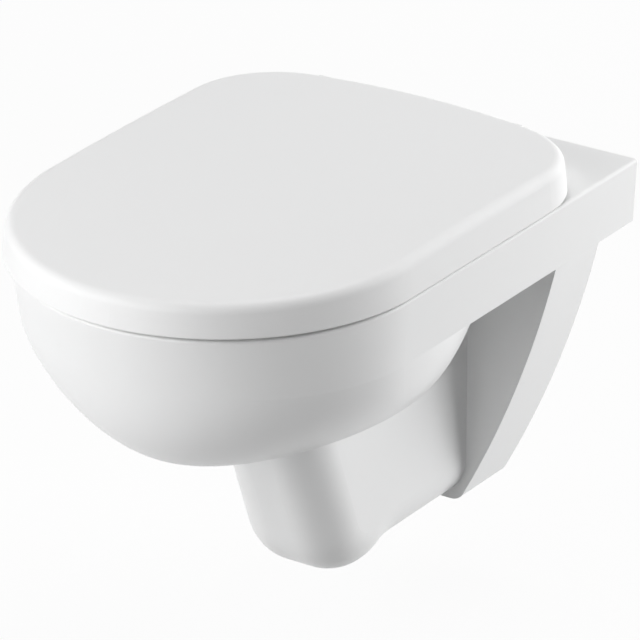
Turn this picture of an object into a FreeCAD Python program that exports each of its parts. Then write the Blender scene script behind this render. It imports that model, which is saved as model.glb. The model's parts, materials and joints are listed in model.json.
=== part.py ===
import FreeCAD, Part
import math
import os
import Sketcher

# A wall hung toilet pan with a hinged seat and lid, in millimetres. The wall is the plane y = 0, the pan
# reaches towards -Y, +Z is up, and the origin lies midway between the two wall fixing holes.

Vector = FreeCAD.Vector
Placement = FreeCAD.Placement
Rotation = FreeCAD.Rotation

# Driving dimensions. A "reach" or "setback" is measured from the wall, a "drop" downwards.
DRIVING = {
    # The casting: deck, rim and bowl.
    "rim_height": 80.0,
    "pan_width": 355.0,
    "pan_reach": 534.0,
    "rim_widest_reach": 358.0,
    "china_wall": 12.0,
    "deck_height": 57.5,
    "deck_draft": 3.0,
    "nose_tuck": 16.0,
    "deck_pocket_reach": 150.0,
    "rim_edge_radius": 3.0,
    "bowl_drop": 104.5,
    "bowl_back_setback": 71.5,
    "bowl_back_gap": 42.0,
    "bowl_floor_width": 155.0,
    "bowl_floor_reach": 414.5,
    "bowl_floor_widest_reach": 208.5,
    "bowl_floor_setback": 149.5,
    "bowl_fullness": 1.72,
    "bowl_tumble": 1.39,
    "nose_fullness": 1.79,
    "nose_tumble": 3.09,
    # The hollow of the bowl and the flushing rim.
    "opening_width": 236.0,
    "opening_nose_width": 51.0,
    "opening_widest_reach": 330.0,
    "opening_setback": 192.0,
    "opening_edge_radius": 9.0,
    "rim_depth": 46.0,
    "curtain_wall": 10.0,
    "channel_height": 24.0,
    "channel_outer_wall": 14.0,
    "channel_nose_wall": 24.0,
    "basin_side_wall": 13.0,
    "basin_nose_wall": 15.0,
    "basin_floor_wall": 14.0,
    "basin_setback": 166.0,
    "basin_floor_width": 100.0,
    "basin_floor_reach": 336.0,
    "basin_floor_setback": 188.0,
    "rinse_hole_radius": 3.0,
    "rinse_hole_count": 14,
    # The trap and its casing.
    "trap_bore_radius": 36.0,
    "trap_width": 106.0,
    "trap_edge_radius": 40.0,
    "trap_bend_setback": 218.0,
    "trap_bend_drop": 193.0,
    "trap_bend_radius": 64.0,
    "trap_front_reach": 369.0,
    "trap_heel_drop": 248.0,
    "trap_heel_radius": 40.0,
    "trapway_lip_reach": 277.0,
    "trapway_lip_drop": 84.0,
    "trapway_turn_reach": 216.0,
    "trapway_turn_drop": 262.0,
    "trapway_turn_radius": 40.0,
    "trapway_weir_reach": 132.0,
    "trapway_weir_radius": 60.0,
    "throat_drop": 135.0,
    "throat_inset": 3.0,
    # The wall flange and the two pipe connections.
    "flange_depth": 70.0,
    "flange_top_width": 295.0,
    "flange_foot_width": 92.0,
    "flange_drop": 249.5,
    "flange_side_radius": 980.0,
    "flange_corner_radius": 14.0,
    "outlet_drop": 100.0,
    "outlet_radius": 51.0,
    "outlet_bore_radius": 41.0,
    "inlet_rise": 35.0,
    "inlet_radius": 38.5,
    "inlet_bore_radius": 27.5,
    "inlet_bore_depth": 45.0,
    "inlet_pipe_radius": 34.5,
    "inlet_pipe_bore_radius": 21.0,
    "spigot_setback": 3.0,
    "seal_bore_radius": 22.5,
    "seal_play": 0.2,
    # Wall fixing.
    "fixing_spacing": 180.0,
    "fixing_hole_radius": 10.0,
    "fixing_boss_radius": 21.0,
    "stud_hole_radius": 6.5,
    "sleeve_clearance": 0.3,
    "sleeve_head_radius": 15.5,
    "sleeve_head_height": 3.0,
    "fixing_washer_radius": 17.0,
    "fixing_washer_height": 2.5,
    "fixing_nut_radius": 11.0,
    "fixing_nut_height": 10.0,
    "fixing_nut_bore_radius": 5.3,
    "nut_cap_radius": 15.5,
    "nut_cap_wall": 2.0,
    "nut_cap_height": 17.0,
    "nut_cap_edge_radius": 3.0,
    # Seat hinge.
    "hinge_spacing": 155.0,
    "hinge_setback": 74.0,
    "hinge_rise": 25.0,
    "hinge_hole_reach": 118.0,
    "hinge_hole_radius": 7.5,
    "hinge_screw_radius": 4.0,
    "hinge_screw_grip": 11.0,
    "hinge_screw_tail": 38.0,
    "hinge_clearance": 0.05,
    "hinge_gasket_height": 1.5,
    "hinge_base_radius": 19.0,
    "hinge_base_height": 4.0,
    "hinge_arm_width": 15.0,
    "hinge_arm_depth": 28.0,
    "hinge_arm_radius": 7.0,
    "hinge_arm_underside": 5.0,
    "hinge_arm_corner": 9.0,
    "hinge_pin_radius": 4.0,
    "hinge_side_gap": 1.5,
    "knuckle_width": 16.5,
    "knuckle_radius": 8.0,
    "bush_radius": 6.0,
    "bush_inset": 0.5,
    "damper_flat": 5.2,
    "hinge_cone_radius": 13.0,
    "hinge_cone_height": 5.0,
    "hinge_plug_height": 10.0,
    "hinge_plug_gap": 0.3,
    "hinge_washer_radius": 12.0,
    "hinge_washer_height": 1.6,
    "wing_hub_radius": 9.0,
    "wing_hub_height": 14.0,
    "wing_span": 40.0,
    "wing_thickness": 4.0,
    "wing_height": 12.0,
    "wing_edge_radius": 4.0,
    # Seat.
    "seat_gap": 0.2,
    "seat_lift": 8.5,
    "seat_thickness": 19.5,
    "seat_inset": 4.0,
    "seat_setback": 98.0,
    "seat_corner_radius": 60.0,
    "seat_rear_radius": 1500.0,
    "seat_opening_width": 212.0,
    "seat_opening_nose_width": 64.0,
    "seat_opening_setback": 198.0,
    "seat_edge_radius": 7.0,
    "seat_under_radius": 3.0,
    "seat_slot_gap": 2.5,
    "seat_lug_overlap": 10.0,
    "seat_lug_drop": 1.0,
    "seat_buffer_radius": 9.0,
    "buffer_rear_x": 142.0,
    "buffer_rear_reach": 215.0,
    "buffer_front_x": 115.0,
    "buffer_front_reach": 440.0,
    # Lid.
    "lid_overhang": 5.0,
    "lid_nose_overhang": 8.0,
    "lid_lift": 4.0,
    "lid_rise": 41.0,
    "lid_setback": 52.0,
    "lid_rear_radius": 698.0,
    "lid_corner_radius": 86.0,
    "lid_nose_step": 16.0122,
    "lid_nose_fall": 9.4249,
    "lid_crown_reach": 235.0,
    "lid_edge_radius": 9.0,
    "lid_under_radius": 1.5,
    "lid_draft": 6.0,
    "lid_wall": 4.0,
    "lid_top_wall": 3.5,
    "lid_rear_relief": 22.5,
    "lid_notch_gap": 1.0,
    "lid_buffer_radius": 7.0,
}

# Sizes and places worked out from the driving dimensions.
WORKED_OUT = {
    "pan_half": "dims.pan_width / 2",
    "deck_half": "dims.pan_width / 2 - dims.deck_draft",
    "deck_underside": "dims.rim_height - dims.china_wall",
    "deck_low": "dims.rim_height - dims.deck_height",
    "opening_reach": "dims.pan_reach - dims.opening_nose_width",
    "seat_opening_reach": "dims.pan_reach - dims.seat_opening_nose_width",
    "bowl_nose_reach": "dims.pan_reach - dims.nose_tuck",
    "bowl_low": "deck_low - dims.bowl_drop",
    "flange_inside": "dims.flange_depth - dims.china_wall",
    "flange_top_half": "dims.flange_top_width / 2",
    "flange_foot_half": "dims.flange_foot_width / 2",
    "hollow_top_half": "flange_top_half - dims.china_wall",
    "hollow_top": "deck_low + dims.china_wall + 1",
    "hollow_foot_half": "flange_foot_half - dims.china_wall / 2",
    "hollow_drop": "dims.flange_drop - dims.china_wall",
    "hollow_side_radius": "dims.flange_side_radius - dims.china_wall",
    "trap_casing_back": "dims.flange_depth - dims.china_wall / 2",
    "rim_low": "dims.rim_height - dims.rim_depth",
    "channel_high": "dims.rim_height - dims.china_wall",
    "channel_low": "channel_high - dims.channel_height",
    "fixing_x": "dims.fixing_spacing / 2",
    "sleeve_radius": "dims.fixing_hole_radius - dims.sleeve_clearance",
    "sleeve_front": "-dims.flange_depth - dims.sleeve_head_height",
    "washer_front": "sleeve_front - dims.fixing_washer_height",
    "hinge_x": "dims.hinge_spacing / 2",
    "hinge_z": "dims.rim_height + dims.hinge_rise",
    "hinge_base_low": "dims.rim_height + dims.hinge_gasket_height",
    "hinge_base_high": "hinge_base_low + dims.hinge_base_height",
    "hinge_screw_low": "dims.rim_height - dims.hinge_screw_tail",
    "hinge_screw_high": "hinge_base_high + dims.hinge_screw_grip",
    "hinge_screw_hole": "dims.hinge_screw_radius + dims.hinge_clearance",
    "hinge_pin_hole": "dims.hinge_pin_radius + dims.hinge_clearance",
    "bush_hole": "dims.bush_radius + dims.hinge_clearance",
    "hinge_arm_half": "dims.hinge_arm_width / 2",
    "hinge_arm_front": "dims.hinge_hole_reach + dims.hinge_arm_depth / 2",
    "hinge_arm_back": "dims.hinge_hole_reach - dims.hinge_arm_depth / 2",
    "seat_knuckle_x": "hinge_x - hinge_arm_half - dims.hinge_side_gap - dims.knuckle_width",
    "lid_knuckle_x": "hinge_x + hinge_arm_half + dims.hinge_side_gap",
    "bush_length": "dims.knuckle_width - 2 * dims.bush_inset",
    "pin_start": "seat_knuckle_x - dims.hinge_side_gap",
    "pin_length": "2 * (hinge_x - pin_start)",
    "cone_low": "deck_underside - dims.hinge_cone_height",
    "hinge_washer_low": "cone_low - dims.hinge_washer_height",
    "wing_low": "hinge_washer_low - dims.wing_hub_height",
    "lid_low": "dims.rim_height + dims.lid_lift",
    "lid_top": "dims.rim_height + dims.lid_rise",
    "lid_half": "pan_half + dims.lid_overhang",
    "lid_reach": "dims.pan_reach + dims.lid_nose_overhang",
    "lid_nose_radius": "lid_half ^ 2 / (lid_reach - dims.rim_widest_reach) - dims.lid_nose_step",
    "lid_crown_radius": "(lid_reach - dims.lid_crown_reach) ^ 2 / (2 * dims.lid_nose_fall)",
    "lid_inner_half": "lid_half - dims.lid_wall",
    "lid_inner_reach": "lid_reach - dims.lid_wall",
    "lid_inner_setback": "dims.lid_setback + dims.lid_wall",
    "lid_inner_corner": "dims.lid_corner_radius - dims.lid_wall",
    "lid_inner_rear": "dims.lid_rear_radius - dims.lid_wall",
    "lid_inner_nose": "lid_nose_radius - dims.lid_wall",
    "lid_inner_top": "lid_top - dims.lid_top_wall",
    "lid_inner_crown": "lid_crown_radius - dims.lid_top_wall",
    "crown_centre": "lid_top - lid_crown_radius",
    "crown_fall": "(dims.lid_crown_reach - dims.hinge_setback) ^ 2 / (2 * lid_crown_radius)",
    "lid_ear_high": "lid_top - crown_fall - dims.lid_top_wall / 2",
    "nose_centre": "lid_reach - lid_nose_radius",
    "lid_rear_centre": "dims.lid_setback + dims.lid_rear_radius",
    "seat_low": "dims.rim_height + dims.seat_lift",
    "seat_high": "seat_low + dims.seat_thickness",
    "seat_half": "lid_inner_half - dims.seat_inset",
    "seat_reach": "lid_inner_reach - dims.seat_inset",
    "seat_nose": "lid_inner_nose - dims.seat_inset",
    "seat_rear_centre": "dims.seat_setback + dims.seat_rear_radius",
    "seat_opening_half": "dims.seat_opening_width / 2",
}

doc = FreeCAD.newDocument("wall_hung_toilet")
dims = doc.addObject("Spreadsheet::Sheet", "dims")
places = doc.addObject("Spreadsheet::Sheet", "places")


def fill_sheet(sheet, entries):
    """Write one row per entry: its name in column A and its value, with that name as alias, in column B."""
    for row, (alias, text) in enumerate(entries.items(), start=1):
        sheet.set(f"A{row}", alias)
        sheet.set(f"B{row}", text)
        sheet.setAlias(f"B{row}", alias)


fill_sheet(dims, {alias: str(value) for alias, value in DRIVING.items()})
fill_sheet(places, {alias: "=" + formula for alias, formula in WORKED_OUT.items()})
doc.recompute()


def size(alias):
    """The value of a cell of either sheet."""
    sheet = dims if alias in DRIVING else places
    return float(sheet.get(alias))


def cell(alias):
    """The expression that names a cell of either sheet."""
    return f"dims.{alias}" if alias in DRIVING else f"places.{alias}"


# Directions in which a cylinder or an extrusion can point.
TURN = {
    "x": Rotation(Vector(0, 1, 0), 90),
    "y": Rotation(Vector(1, 0, 0), -90),
    "-y": Rotation(Vector(1, 0, 0), 90),
    "z": Rotation(),
}


def bind_place(item, at):
    """Bind an object's position to three expressions."""
    for axis, expression in zip("xyz", at):
        item.setExpression(f"Placement.Base.{axis}", expression)


def cylinder(name, radius, height, at, along="z"):
    """A cylinder from a point, along an axis, with every size an expression."""
    item = doc.addObject("Part::Cylinder", name)
    item.Placement = Placement(Vector(), TURN[along])
    item.setExpression("Radius", radius)
    item.setExpression("Height", height)
    bind_place(item, at)
    return item


def box(name, sides, at):
    """A box from its lowest corner, with every size an expression."""
    item = doc.addObject("Part::Box", name)
    for side, expression in zip(("Length", "Width", "Height"), sides):
        item.setExpression(side, expression)
    bind_place(item, at)
    return item


def fuse(name, *items):
    item = doc.addObject("Part::MultiFuse", name)
    item.Shapes = list(items)
    return item


def cut(name, base, tool):
    item = doc.addObject("Part::Cut", name)
    item.Base = base
    item.Tool = tool
    item.Refine = False
    return item


def cut_all(name, base, *tools):
    """Take several spaces out of a piece, one after the other."""
    for number, tool in enumerate(tools[:-1], start=1):
        base = cut(f"{name}_cut_{number}", base, tool)
    return cut(name, base, tools[-1])


def common(name, *items):
    item = doc.addObject("Part::MultiCommon", name)
    item.Shapes = list(items)
    return item


def mirrored(name, source):
    """The same piece on the other side of the plane x = 0."""
    item = doc.addObject("Part::Mirroring", name)
    item.Source = source
    item.Normal = Vector(1, 0, 0)
    return item


def all_sides(name, sources):
    """Several right hand pieces and their mirror images, as the solids of one object."""
    item = doc.addObject("Part::Compound", name)
    item.Links = [piece for source in sources for piece in (source, mirrored(source.Name + "_left", source))]
    return item


def both_sides(name, source):
    """A right hand piece and its mirror image, as two solids of one object."""
    return all_sides(name, [source])


def solid_feature(name, shape):
    item = doc.addObject("Part::Feature", name)
    item.Shape = shape
    return item


def tube(name, radius, bore, height, at, along="z"):
    """A cylinder with a hole all the way through it."""
    outside = cylinder(name + "_outside", radius, height, at, along)
    hole = cylinder(name + "_hole", bore, height, at, along)
    return cut(name, outside, hole)


def fillet(name, base, radius, chosen):
    """Round the edges of an object that a test picks out."""
    doc.recompute()
    item = doc.addObject("Part::Fillet", name)
    item.Base = base
    reach = size(radius)
    edges = [n for n, edge in enumerate(base.Shape.Edges, start=1) if chosen(edge)]
    item.Edges = [(n, reach, reach) for n in edges]
    return item


def half_oval(half_width, widest, end, level):
    """Half an ellipse across the pan, from +X round its end to -X, on a horizontal plane."""
    centre = Vector(0, -widest, level)
    side = Vector(half_width, -widest, level)
    tip = Vector(0, -end, level)
    if abs(end - widest) > half_width:
        ellipse = Part.Ellipse(tip, side, centre)
        return Part.ArcOfEllipse(ellipse, -math.pi / 2, math.pi / 2).toShape()
    ellipse = Part.Ellipse(side, tip, centre)
    return Part.ArcOfEllipse(ellipse, 0, math.pi).toShape()


def egg(half_width, widest, front, back, level):
    """A closed oval of two half ellipses that meet where it is widest."""
    ends = (half_oval(half_width, widest, end, level) for end in (front, back))
    return Part.Wire(Part.__sortEdges__(list(ends)))


def prism(wire, height):
    return Part.Face(wire).extrude(Vector(0, 0, height))


def deck_wire(half_width, reach, level):
    """The outline of deck and rim: square at the wall, straight sides, half an ellipse in front."""
    widest = size("rim_widest_reach")
    left, right = Vector(-half_width, 0, level), Vector(half_width, 0, level)
    run = Vector(0, -widest, 0)
    edges = [
        Part.LineSegment(left, right).toShape(),
        Part.LineSegment(right, right + run).toShape(),
        half_oval(half_width, widest, reach, level),
        Part.LineSegment(left + run, left).toShape(),
    ]
    return Part.Wire(Part.__sortEdges__(edges))


def side_profile(depth_share):
    """How much of the way from the floor's outline to the top's a bowl still has at a share of its depth."""
    return (1 - depth_share ** size("bowl_tumble")) ** (1 / size("bowl_fullness"))


def nose_profile(depth_share, lean):
    """The same at the nose, where the bowl starts with a lean that carries on the slope of the rim."""
    return (1 - lean * depth_share) * (1 - depth_share ** size("nose_tumble")) ** (1 / size("nose_fullness"))


def bowl_loft(top, floor, high, low):
    """A bowl between two ovals, each (half width, widest, front, back), that turns smoothly into its floor."""
    lean = size("nose_tuck") / size("deck_height") * (high - low) / (top[2] - floor[2])
    wires = []
    for share in (0, 0.22, 0.44, 0.64, 0.8, 0.91, 0.975, 1):
        side = side_profile(share)
        keeps = (side, side, nose_profile(share, lean), side)
        oval = [low_size + (high_size - low_size) * keep for high_size, low_size, keep in zip(top, floor, keeps)]
        wires.append(egg(*oval, high + (low - high) * share))
    return Part.makeLoft(wires, True)


def build_bowl():
    """Deck, rim and bowl as one solid lump, hollowed under the deck."""
    rim_high, deck_low = size("rim_height"), size("deck_low")
    top = deck_wire(size("pan_half"), size("pan_reach"), rim_high)
    low = deck_wire(size("deck_half"), size("bowl_nose_reach"), deck_low)
    block = Part.makeLoft([top, low], True, True)
    rounded = [edge for edge in block.Edges if edge.BoundBox.ZMin > rim_high - 0.1 and edge.BoundBox.YMin < -1]
    block = block.makeFillet(size("rim_edge_radius"), rounded)

    wall = size("china_wall")
    half = size("deck_half") - wall
    ceiling = size("deck_underside")
    front_pocket = Part.makeBox(
        2 * half,
        size("deck_pocket_reach") - size("flange_depth"),
        ceiling - deck_low + wall,
        Vector(-half, -size("deck_pocket_reach"), deck_low - wall),
    )
    rear_pocket = Part.makeBox(
        2 * half,
        size("flange_inside"),
        ceiling - deck_low - wall,
        Vector(-half, -size("flange_inside"), deck_low + wall),
    )
    block = block.cut([front_pocket, rear_pocket])

    bowl = bowl_loft(
        (size("deck_half"), size("rim_widest_reach"), size("bowl_nose_reach"), size("bowl_back_setback")),
        (
            size("bowl_floor_width") / 2,
            size("bowl_floor_widest_reach"),
            size("bowl_floor_reach"),
            size("bowl_floor_setback"),
        ),
        deck_low,
        size("bowl_low"),
    )
    hand_room = Part.makeBox(
        size("pan_width"),
        size("flange_depth") + size("bowl_back_gap"),
        size("bowl_drop"),
        Vector(-size("pan_half"), -size("flange_depth") - size("bowl_back_gap"), size("bowl_low")),
    )
    return solid_feature("bowl_lump", block.fuse([bowl.cut(hand_room)], 0.005))


def build_basin():
    """The space inside the bowl: the opening of the rim and the basin below it."""
    rim_high, rim_low = size("rim_height"), size("rim_low")
    floor = size("bowl_low") + size("basin_floor_wall")
    opening_half = size("opening_width") / 2
    widest = size("opening_widest_reach")
    opening = egg(opening_half, widest, size("opening_reach"), size("opening_setback"), rim_low - 1)
    shaft = prism(opening, size("rim_depth") + 1)
    plate = Part.makeBox(size("pan_width"), size("pan_reach"), 2 * size("opening_edge_radius"))
    plate.translate(Vector(-size("pan_half"), -size("pan_reach"), rim_high))
    mouth = shaft.fuse(plate)
    level_edges = [edge for edge in mouth.Edges if edge.BoundBox.ZLength < 0.01]
    corner = [
        edge
        for edge in level_edges
        if abs(edge.BoundBox.ZMin - rim_high) < 0.01 and edge.Curve.TypeId == "Part::GeomEllipse"
    ]
    mouth = mouth.makeFillet(size("opening_edge_radius"), corner)

    top = (
        size("deck_half") - size("basin_side_wall"),
        widest,
        size("bowl_nose_reach") - size("basin_nose_wall"),
        size("basin_setback"),
    )
    bottom = (
        size("basin_floor_width") / 2,
        (size("basin_floor_reach") + size("basin_floor_setback")) / 2,
        size("basin_floor_reach"),
        size("basin_floor_setback"),
    )
    basin = bowl_loft(top, bottom, rim_low, floor)
    return solid_feature("basin", mouth.fuse(basin))


def throat_wire(share):
    """One level of the throat: it narrows from just inside the basin's floor to the bore of the trap."""
    high = size("bowl_low") + size("basin_floor_wall") + 2
    low = -size("throat_drop")
    run = size("trapway_lip_reach") - size("trapway_turn_reach")
    fall = size("trapway_turn_drop") - size("trapway_lip_drop")
    bore = size("trap_bore_radius")
    along = bore * math.hypot(run, fall) / fall
    centre = size("trapway_lip_reach") - run * (size("throat_drop") - size("trapway_lip_drop")) / fall
    inset = size("throat_inset")
    top = (
        size("basin_floor_width") / 2 - inset,
        (size("basin_floor_reach") + size("basin_floor_setback")) / 2,
        size("basin_floor_reach") - inset,
        size("basin_floor_setback") + inset,
    )
    end = (bore - 1, centre, centre + along - 1, centre - along + 1)
    blend = 1 - (1 - share) ** 2
    oval = [a + (b - a) * blend for a, b in zip(top, end)]
    return egg(*oval, high + (low - high) * share)


def rounded_path(corners, radii):
    """Straight runs through the corners, joined by tangent arcs of the given radii."""
    edges = []
    start = corners[0]
    for before, corner, after, radius in zip(corners, corners[1:], corners[2:], radii):
        back = (before - corner).normalize()
        ahead = (after - corner).normalize()
        half_turn = back.getAngle(ahead) / 2
        trim = radius / math.tan(half_turn)
        middle = (back + ahead).normalize() * (radius / math.sin(half_turn) - radius)
        first, last = corner + back * trim, corner + ahead * trim
        edges.append(Part.LineSegment(start, first).toShape())
        edges.append(Part.Arc(first, corner + middle, last).toShape())
        start = last
    edges.append(Part.LineSegment(start, corners[-1]).toShape())
    return Part.Wire(edges)


def build_trapway():
    """The water way as two spaces: the throat, and the bore down to the bend, over the weir and out."""
    outlet_level = -size("outlet_drop")
    corners = [
        Vector(0, -size("trapway_lip_reach"), -size("trapway_lip_drop")),
        Vector(0, -size("trapway_turn_reach"), -size("trapway_turn_drop")),
        Vector(0, -size("trapway_weir_reach"), outlet_level),
        Vector(0, size("spigot_setback"), outlet_level),
    ]
    path = rounded_path(corners, [size("trapway_turn_radius"), size("trapway_weir_radius")])
    ring = Part.Circle(corners[0], corners[1] - corners[0], size("trap_bore_radius"))
    bore = path.makePipeShell([Part.Wire(ring.toShape())], True, False)
    throat = Part.makeLoft([throat_wire(share) for share in (0, 0.25, 0.5, 0.75, 1)], True)
    return [solid_feature("throat", throat), solid_feature("trapway", bore)]


def build_channel():
    """The hollow of the flushing rim, and the rinse holes through its floor into the basin."""
    low, height = size("channel_low"), size("channel_height")
    outer_widest, inner_widest = size("rim_widest_reach"), size("opening_widest_reach")
    inner_half = size("opening_width") / 2 + size("curtain_wall")
    inner_front = size("opening_reach") + size("curtain_wall")
    inner_back = size("opening_setback") - size("curtain_wall")
    outer_half = size("deck_half") - size("channel_outer_wall")
    outer_front = size("pan_reach") - size("channel_nose_wall")
    outer_back = size("deck_pocket_reach") + size("china_wall")
    outer = prism(egg(outer_half, outer_widest, outer_front, outer_back, low), height)
    inner = prism(egg(inner_half, inner_widest, inner_front, inner_back, low), height)
    ring = outer.cut(inner)

    middle_half = (inner_half + outer_half) / 2
    middle_front = (inner_front + outer_front) / 2
    widest = (inner_widest + outer_widest) / 2
    count = int(size("rinse_hole_count"))
    depth = low - size("rim_low") + 2
    holes = []
    for number in range(count):
        angle = math.pi * (number + 0.5) / count
        centre = Vector(
            middle_half * math.cos(angle),
            -widest - (middle_front - widest) * math.sin(angle),
            size("rim_low") - 1,
        )
        holes.append(Part.makeCylinder(size("rinse_hole_radius"), depth, centre))
    return solid_feature("rim_channel", ring.fuse(holes))


def new_sketch(body, name, role):
    """A sketch on one of a body's own origin planes."""
    sketch = body.newObject("Sketcher::SketchObject", name)
    origin_plane = next(plane for plane in body.Origin.OriginFeatures if plane.Role == role)
    sketch.AttachmentSupport = (origin_plane, [""])
    sketch.MapMode = "FlatFace"
    return sketch


def join(sketch, kind, pairs):
    """Coincident or tangent ends: pairs of (geometry, point) numbers, 1 for a start and 2 for an end."""
    for first, second in pairs:
        sketch.addConstraint(Sketcher.Constraint(kind, *first, *second))


def level(sketch, kind, *geometries):
    for geometry in geometries:
        sketch.addConstraint(Sketcher.Constraint(kind, geometry))


def measure(sketch, kind, where, alias):
    """A dimension bound to a cell."""
    number = sketch.addConstraint(Sketcher.Constraint(kind, *where, size(alias)))
    sketch.setExpression(f"Constraints[{number}]", cell(alias))


ORIGIN = (-1, 1)


def line(x1, y1, x2, y2):
    return Part.LineSegment(Vector(x1, y1, 0), Vector(x2, y2, 0))


def arc(x, y, radius, start, end):
    """An arc of a circle, anticlockwise between two angles in radians."""
    return Part.ArcOfCircle(Part.Circle(Vector(x, y, 0), Vector(0, 0, 1), radius), start, end)


def build_shield(name, top_half, top, foot_half, foot_drop, side_radius, depth):
    """A plate on the wall that narrows downwards between two bowed sides. All sizes are cell names."""
    body = doc.addObject("PartDesign::Body", name)
    sketch = new_sketch(body, name + "_outline", "XZ_Plane")
    half, high, foot, low = size(top_half), size(top), size(foot_half), -size(foot_drop)
    radius = size(side_radius)
    chord = Vector(half - foot, high - low, 0)
    inwards = Vector(-chord.y, chord.x, 0).normalize()
    middle = Vector((half + foot) / 2, (high + low) / 2, 0)
    centre = middle + inwards * math.sqrt(radius**2 - (chord.Length / 2) ** 2)
    low_angle = math.atan2(low - centre.y, foot - centre.x)
    high_angle = math.atan2(high - centre.y, half - centre.x)
    sketch.addGeometry(
        [
            line(-half, high, half, high),
            arc(centre.x, centre.y, radius, low_angle, high_angle),
            line(foot, low, -foot, low),
            arc(-centre.x, centre.y, radius, math.pi - high_angle, math.pi - low_angle),
        ]
    )
    join(
        sketch,
        "Coincident",
        [((0, 2), (1, 2)), ((1, 1), (2, 1)), ((2, 2), (3, 2)), ((3, 1), (0, 1))],
    )
    level(sketch, "Horizontal", 0, 2)
    measure(sketch, "DistanceX", (*ORIGIN, 0, 2), top_half)
    measure(sketch, "DistanceX", (0, 1, *ORIGIN), top_half)
    measure(sketch, "DistanceX", (*ORIGIN, 2, 1), foot_half)
    measure(sketch, "DistanceX", (2, 2, *ORIGIN), foot_half)
    measure(sketch, "DistanceY", (*ORIGIN, 0, 1), top)
    measure(sketch, "DistanceY", (2, 1, *ORIGIN), foot_drop)
    measure(sketch, "Radius", (1,), side_radius)
    measure(sketch, "Radius", (3,), side_radius)

    plate = body.newObject("PartDesign::Pad", name + "_plate")
    plate.Profile = sketch
    plate.setExpression("Length", cell(depth))
    doc.recompute()
    corners = body.newObject("PartDesign::Fillet", name + "_corners")
    foot_edges = [
        f"Edge{n}"
        for n, edge in enumerate(plate.Shape.Edges, start=1)
        if edge.BoundBox.ZMax < low + 0.1 and edge.BoundBox.XLength < 0.1
    ]
    corners.Base = (plate, foot_edges)
    corners.setExpression("Radius", cell("flange_corner_radius"))
    return body


def build_trap_casing():
    """The foot of the pan round the trap: a side profile across the pan, with both its long edges rounded."""
    body = doc.addObject("PartDesign::Body", "trap_casing")
    sketch = new_sketch(body, "trap_profile", "YZ_Plane")
    sketch.setExpression("AttachmentOffset.Base.z", f"-{cell('trap_width')} / 2")
    bend = Vector(-size("trap_bend_setback"), -size("trap_bend_drop"), 0)
    bend_radius, heel_radius = size("trap_bend_radius"), size("trap_heel_radius")
    top, back = size("deck_low"), -size("trap_casing_back")
    tip = Vector(-size("trap_front_reach"), top, 0)
    to_tip = tip - bend
    front_angle = math.atan2(to_tip.y, to_tip.x) + math.acos(bend_radius / to_tip.Length)
    heel_fall = -size("trap_heel_drop") - heel_radius - bend.y
    heel_run = math.sqrt((bend_radius + heel_radius) ** 2 - heel_fall**2)
    heel_angle = math.atan2(heel_fall, heel_run)
    heel = bend + Vector(heel_run, heel_fall, 0)
    front = bend + Vector(math.cos(front_angle), math.sin(front_angle), 0) * bend_radius
    sole = heel.y + heel_radius
    sketch.addGeometry(
        [
            line(tip.x, tip.y, front.x, front.y),
            arc(bend.x, bend.y, bend_radius, front_angle, heel_angle + 2 * math.pi),
            arc(heel.x, heel.y, heel_radius, math.pi / 2, heel_angle + math.pi),
            line(heel.x, sole, back, sole),
            line(back, sole, back, top),
            line(back, top, tip.x, top),
        ]
    )
    join(sketch, "Tangent", [((0, 2), (1, 1)), ((1, 2), (2, 2)), ((2, 1), (3, 1))])
    join(sketch, "Coincident", [((3, 2), (4, 1)), ((4, 2), (5, 1)), ((5, 2), (0, 1))])
    level(sketch, "Horizontal", 3, 5)
    level(sketch, "Vertical", 4)
    measure(sketch, "Radius", (1,), "trap_bend_radius")
    measure(sketch, "Radius", (2,), "trap_heel_radius")
    measure(sketch, "DistanceX", (1, 3, *ORIGIN), "trap_bend_setback")
    measure(sketch, "DistanceY", (1, 3, *ORIGIN), "trap_bend_drop")
    measure(sketch, "DistanceY", (3, 1, *ORIGIN), "trap_heel_drop")
    measure(sketch, "DistanceX", (4, 1, *ORIGIN), "trap_casing_back")
    measure(sketch, "DistanceX", (0, 1, *ORIGIN), "trap_front_reach")
    measure(sketch, "DistanceY", (*ORIGIN, 0, 1), "deck_low")

    block = body.newObject("PartDesign::Pad", "trap_block")
    block.Profile = sketch
    block.setExpression("Length", cell("trap_width"))
    doc.recompute()
    rounding = body.newObject("PartDesign::Fillet", "trap_rounding")
    side_edges = [
        f"Edge{n}"
        for n, edge in enumerate(block.Shape.Edges, start=1)
        if edge.BoundBox.XLength < 0.1 and edge.BoundBox.ZMin < top - 1 and edge.BoundBox.YMin < back - 1
    ]
    rounding.Base = (block, side_edges)
    rounding.setExpression("Radius", cell("trap_edge_radius"))
    return body


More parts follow.
